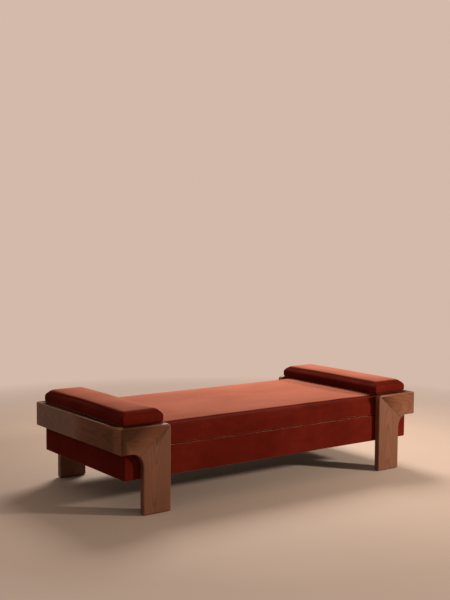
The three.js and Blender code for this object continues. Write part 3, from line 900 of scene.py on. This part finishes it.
def inflate(piece, own):
    # The cover swells under pressure, far more than a filled cushion would, so how far each point
    # may move is limited smoothly to travel. The shape stays mostly that of softBox.
    before, normals = pointsOf(piece), normalsOf(piece)
    cloth = piece.modifiers.new("swell", "CLOTH")
    cloth.settings.quality = coverCloth["quality"]
    cloth.settings.mass = coverCloth["mass"]
    cloth.settings.tension_stiffness = coverCloth["tension"]
    cloth.settings.compression_stiffness = coverCloth["compression"]
    cloth.settings.shear_stiffness = coverCloth["shear"]
    cloth.settings.bending_stiffness = coverCloth["bending"]
    cloth.settings.use_pressure = True
    cloth.settings.uniform_pressure_force = own["pressure"]
    cloth.settings.effector_weights.gravity = 0
    cloth.collision_settings.use_collision = False
    cloth.point_cache.frame_start = 1
    cloth.point_cache.frame_end = coverCloth["frames"]
    scene = bpy.context.scene
    for number in range(coverCloth["frames"]):
        scene.frame_set(number + 1)
    graph = bpy.context.evaluated_depsgraph_get()
    after = np.array([v.co for v in piece.evaluated_get(graph).data.vertices])
    piece.modifiers.remove(cloth)
    scene.frame_set(1)
    outward = ((after - before) * normals).sum(1)
    outward = evened(piece, outward, coverCloth["evening"])
    cap = own["travel"]
    kept = np.where(outward > 0, outward * cap / (cap + abs(outward)), np.maximum(outward, -own["pull"]))
    setPoints(piece, before + normals * kept[:, None])
    print(own["name"], "swells", round(float(outward.max()), 4), "and keeps", round(float(kept.max()), 4))


def subdivide(piece):
    # One subdivision, made part of the mesh. Returns where each point was on the plain box.
    piece.modifiers.new("finer", "SUBSURF").levels = 1
    graph = bpy.context.evaluated_depsgraph_get()
    finer = bpy.data.meshes.new_from_object(piece.evaluated_get(graph), preserve_all_data_layers=True,
                                            depsgraph=graph)
    piece.modifiers.clear()
    piece.data = finer
    box = np.empty(len(finer.vertices) * 3, np.float32)
    finer.attributes["box"].data.foreach_get("vector", box)
    finer.attributes.remove(finer.attributes["box"])
    return box.reshape(-1, 3).astype(float)


def makeCushion(own, alongY):
    # Made at the origin with its length along X, then seams and zip channel are pressed in, and
    # it is turned and moved to its space.
    name = own["name"]
    low, high = boxOf(f"{name}_cover")
    zipLow, zipHigh = boxOf(f"{name}_zip")
    centre = (low + high) / 2
    half = (high - low) / 2
    zipHalf = (zipHigh - zipLow) / 2
    if alongY:
        half, zipHalf = half[[1, 0, 2]], zipHalf[[1, 0, 2]]
    zLines = np.linspace(-half[2], half[2], int(2 * half[2] / own["fine"]) + 1)
    xLines, yLines = (gradedLine(half[axis], own, own["coarse"][axis]) for axis in (0, 1))
    box, quads = boxGrid(xLines, yLines, zLines)
    cushion = makeObject(f"{name}_cushion", softBox(box, half, own), quads.tolist())
    layer = cushion.data.attributes.new("box", "FLOAT_VECTOR", "POINT")
    layer.data.foreach_set("vector", box.astype(np.float32).ravel())
    inflate(cushion, own)
    box = subdivide(cushion)
    gap = half - abs(box)
    close = 1e-4
    onEnd = gap[:, 0] < close
    if own["seams"] == "ends":  # a panel sewn into each end
        seamGap = np.where(onEnd, np.minimum(gap[:, 1], gap[:, 2]), gap[:, 0])
    else:  # a short upright seam at each corner of the mattress
        seamGap = np.where(gap[:, 2] > close, np.where(onEnd, gap[:, 1], gap[:, 0]), 0.05)
    zipAcross = abs(box[:, 2] if own["zipOnSide"] else box[:, 1])
    onZipFace = (box[:, 1] > half[1] - close) if own["zipOnSide"] else (box[:, 2] < -half[2] + close)
    edge = zipChannel["edge"]
    inSlot = (np.clip((zipChannel["width"] / 2 - zipAcross) / edge + 0.5, 0, 1)
              * np.clip((zipHalf[0] - abs(box[:, 0])) / edge + 0.5, 0, 1) * onZipFace)
    points = pointsOf(cushion)
    # What swells below the face it rests on is pressed flat.
    points[:, 2] = np.maximum(points[:, 2], -half[2])
    setPoints(cushion, points)
    normals = normalsOf(cushion)
    seam = np.exp(-(seamGap / coverSeam["width"]) ** 2)
    nearSeam = np.exp(-(seamGap / coverSeam["puckerReach"]) ** 2)
    pucker = nearSeam * coverSeam["pucker"] * smoothNoise(box, coverSeam["puckerSize"], own["seed"])
    slack = coverSeam["slack"] * smoothNoise(box, coverSeam["slackSize"], own["seed"] + 1)
    slack *= 1 - onZipFace * 1.0
    points += normals * (pucker + slack - coverSeam["depth"] * seam)[:, None]
    points += np.outer(inSlot * zipChannel["depth"], (0, -1, 0) if own["zipOnSide"] else (0, 0, 1))
    if alongY:
        points = np.column_stack([-points[:, 1], points[:, 0], points[:, 2]])
    points += centre
    points[:, 2] = np.minimum(points[:, 2], own["ceiling"])
    points[:, 2] = np.maximum(points[:, 2], low[2])
    points[:, :2] = np.clip(points[:, :2], low[:2] - 0.001, high[:2] + 0.001)
    setPoints(cushion, points)
    layer = cushion.data.attributes.new("seam", "FLOAT", "POINT")
    layer.data.foreach_set("value", (seam + 0.4 * inSlot).astype(np.float32))
    tidyMesh(cushion)
    finishPiece(cushion, velvet, name, "velvet", f"{name}_cover", f"{name}_filling")
    return cushion


makeCushion(mattress, False)
makeCushion(leftBolster, True)
makeCushion(rightBolster, True)
print("cushions made")


# ---- welt round the mattress ----

welt = dict(radius=0.0032, out=0.0013, rise=0.0078, cell=0.010, sides=10)


def makeWelt():
    # A round cord in velvet, carried round the mattress's lower edge.
    own = welt
    low, high = boxOf("mattress_cover")
    outline = rectangle(low[0], low[1], high[0], high[1], mattress["corner"])
    ring = roundedPolygon(outline, own["radius"] - own["out"], 14).reshape(4, 15, 2)
    path = []
    for number in range(4):
        start, stop = ring[number, -1], ring[(number + 1) % 4, 0]
        count = int(np.linalg.norm(stop - start) / own["cell"])
        path += [ring[number], start + (stop - start) * np.linspace(0, 1, count)[1:-1, None]]
    path = np.concatenate(path)
    ahead = np.roll(path, -1, 0) - np.roll(path, 1, 0)
    ahead /= np.linalg.norm(ahead, axis=1)[:, None]
    out = np.stack([ahead[:, 1], -ahead[:, 0]], 1)
    travelled = np.cumsum(np.linalg.norm(path - np.roll(path, 1, 0), axis=1))
    uneven = 0.05 * np.sin(travelled * 2 * pi / 0.043) + 0.04 * np.sin(travelled * 2 * pi / 0.017)
    radius = own["radius"] * (1 + uneven)
    around = np.linspace(0, 2 * pi, own["sides"], endpoint=False)
    plan = path[:, None] + out[:, None] * (radius[:, None] * np.cos(around))[..., None]
    height = low[2] + own["rise"] + radius[:, None] * np.sin(around)
    points = np.concatenate([plan, height[..., None]], -1)
    count = own["sides"]
    i, j = np.meshgrid(np.arange(len(path)), np.arange(count), indexing="ij")
    k, m = (i + 1) % len(path), (j + 1) % count
    faces = np.stack([i * count + j, k * count + j, k * count + m, i * count + m], -1)
    faces = faces.reshape(-1, 4).tolist()
    cord = makeObject("mattress_welt", points, faces)
    tidyMesh(cord)
    finishPiece(cord, velvet, "mattress", "velvet")


makeWelt()


# ---- zips ----

zipParts = dict(tapeWidth=0.0072, tapeGap=0.0008, tapeThick=0.0007, toothWidth=0.0046, toothHigh=0.0009,
                pitch=0.0021, sink=0.0008, rows=60, sides=10)
zipSlider = dict(bodyLong=0.013, bodyDeep=0.0026, bodyEdge=0.0006, pullThick=0.0014, pullEdge=0.0005,
                 pullWide=0.0056, pullNeck=0.004, wire=0.0006, bridgeReach=0.0036)


def zipFrame(name):
    # Origin on the tape's outer face, then the axes along the zip, across it and out of it.
    low, high = boxOf(f"{name}_zip")
    centre = (low + high) / 2
    if name == "mattress":
        return centre + Y * (high[1] - centre[1]), X, Z, Y, (high - low)[0] / 2
    return centre - Z * (high[2] - centre[2]), Y, X, -Z, (high - low)[1] / 2


def makeZip(name):
    own = zipParts
    origin, along, across, out, half = zipFrame(name)
    deep = own["sink"]  # below the outer face of their space, so that the teeth fit behind the slider
    rows = int(2 * half / own["pitch"]) * 4
    s = np.linspace(-half, half, rows)
    parts = []
    angle = np.linspace(0, 2 * pi, own["sides"], endpoint=False)
    swell = 0.62 + 0.38 * abs(np.cos(pi * (s + half) / own["pitch"]))
    width = (own["toothWidth"] / 2 * (0.9 + 0.1 * swell))[:, None] * np.cos(angle)
    high = (own["toothHigh"] / 2 * swell)[:, None] * np.sin(angle)
    points = (origin + s[:, None, None] * along + width[..., None] * across
              + (high + own["toothHigh"] / 2 - deep)[..., None] * out)
    parts.append(makeObject("teeth", points, ringFaces(rows, own["sides"])))
    for side in (-1, 1):
        middle = side * (own["tapeGap"] + own["tapeWidth"]) / 2
        t = np.linspace(-half, half, own["rows"])
        section = rectangle(-own["tapeWidth"] / 2, -own["tapeThick"], own["tapeWidth"] / 2, 0, 0.0003)
        outline = roundedPolygon(section, 0, 2)
        wave = 0.0001 * np.sin(t * 2 * pi / 0.09 + side)
        points = (origin + t[:, None, None] * along + (outline[None, :, :1] + middle) * across
                  + (outline[None, :, 1:] + wave[:, None, None] - deep) * out)
        parts.append(makeObject("tape", points, ringFaces(own["rows"], len(outline))))
    whole = joinPieces(f"{name}_zip_closure", parts)
    tidyMesh(whole)
    finishPiece(whole, zipTape, name, "zip_tape", f"{name}_zip")


def makeSlider(name):
    # A slider body with a bridge, and a flat pull lying back along the zip.
    own = zipSlider
    low, high = boxOf(f"{name}_zip_slider")
    _, along, across, out, _ = zipFrame(name)
    centre = (low + high) / 2
    size = high - low
    length, width, deep = abs(size @ along), abs(size @ across), abs(size @ out)
    back = centre - out * deep / 2
    bodyDeep, pullThick, wire = own["bodyDeep"], own["pullThick"], own["wire"]
    end, w = length / 2, width / 2
    start = end - own["bodyLong"]
    shoulder = end - 0.003
    neck = start + 0.003
    axes = (along, across, np.cross(along, across))
    bodyShape = [(start, -w * 0.55, 0.001), (shoulder, -w, 0.002), (end, -w * 0.5, 0.001),
                 (end, w * 0.5, 0.001), (shoulder, w, 0.002), (start, w * 0.55, 0.001)]
    place = back + out * bodyDeep * 0.46
    body = slab("body", bodyShape, bodyDeep * 0.9, own["bodyEdge"], axes, place, 3, 3)
    pullHigh = deep - pullThick / 2
    halfWide, halfNeck = own["pullWide"] / 2, own["pullNeck"] / 2
    pullShape = [(-end, -halfWide, 0.0022), (neck, -halfNeck, 0.001),
                 (neck, halfNeck, 0.001), (-end, halfWide, 0.0022)]
    pull = slab("pull", pullShape, pullThick * 0.9, own["pullEdge"], axes, back + out * pullHigh, 6, 3)
    # The bridge is a wire bent in a half ellipse over the body.
    turn = np.linspace(0, pi, 11)
    foot = back + out * (bodyDeep * 0.8) + along * (start + own["bodyLong"] * 0.45)
    rise = deep - bodyDeep * 0.8 - wire
    path = (foot + np.outer(np.cos(turn), along) * own["bridgeReach"]
            + np.outer(np.sin(turn), out) * rise)
    around = np.linspace(0, 2 * pi, 8, endpoint=False)
    tangent = np.gradient(path, axis=0)
    tangent /= np.linalg.norm(tangent, axis=1)[:, None]
    normal = np.cross(tangent, across)
    points = path[:, None] + wire * (np.cos(around)[:, None] * normal[:, None]
                                     + np.sin(around)[:, None] * across)
    bridge = makeObject("bridge", points, ringFaces(11, 8), dict(edge=np.full(88, 0.5)))
    tidyMesh(bridge)
    whole = joinPieces(f"{name}_zip_slider_metal", [body, pull, bridge])
    tidyMesh(whole)
    finishPiece(whole, brass, f"{name}_zip_slider", "brass", f"{name}_zip_slider")


for cushionName in ("mattress", "left_bolster", "right_bolster"):
    makeZip(cushionName)
    makeSlider(cushionName)
print("zips made")


# ---- nodes that stay as they are, with their finishes ----

def refinish(words, material):
    for name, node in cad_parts.items():
        if any(word in name for word in words) and not node.hide_render:
            node.data.materials.clear()
            node.data.materials.append(material)


refinish(("mitre_spline", "rail_tongue"), beechSolid)
refinish(("base_front_rail", "base_rear_rail"), pineSolid)
refinish(("leg_bolt",), steel)
left = [name for name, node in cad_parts.items() if not node.hide_render]
print("nodes kept:", len(left), sorted(left))
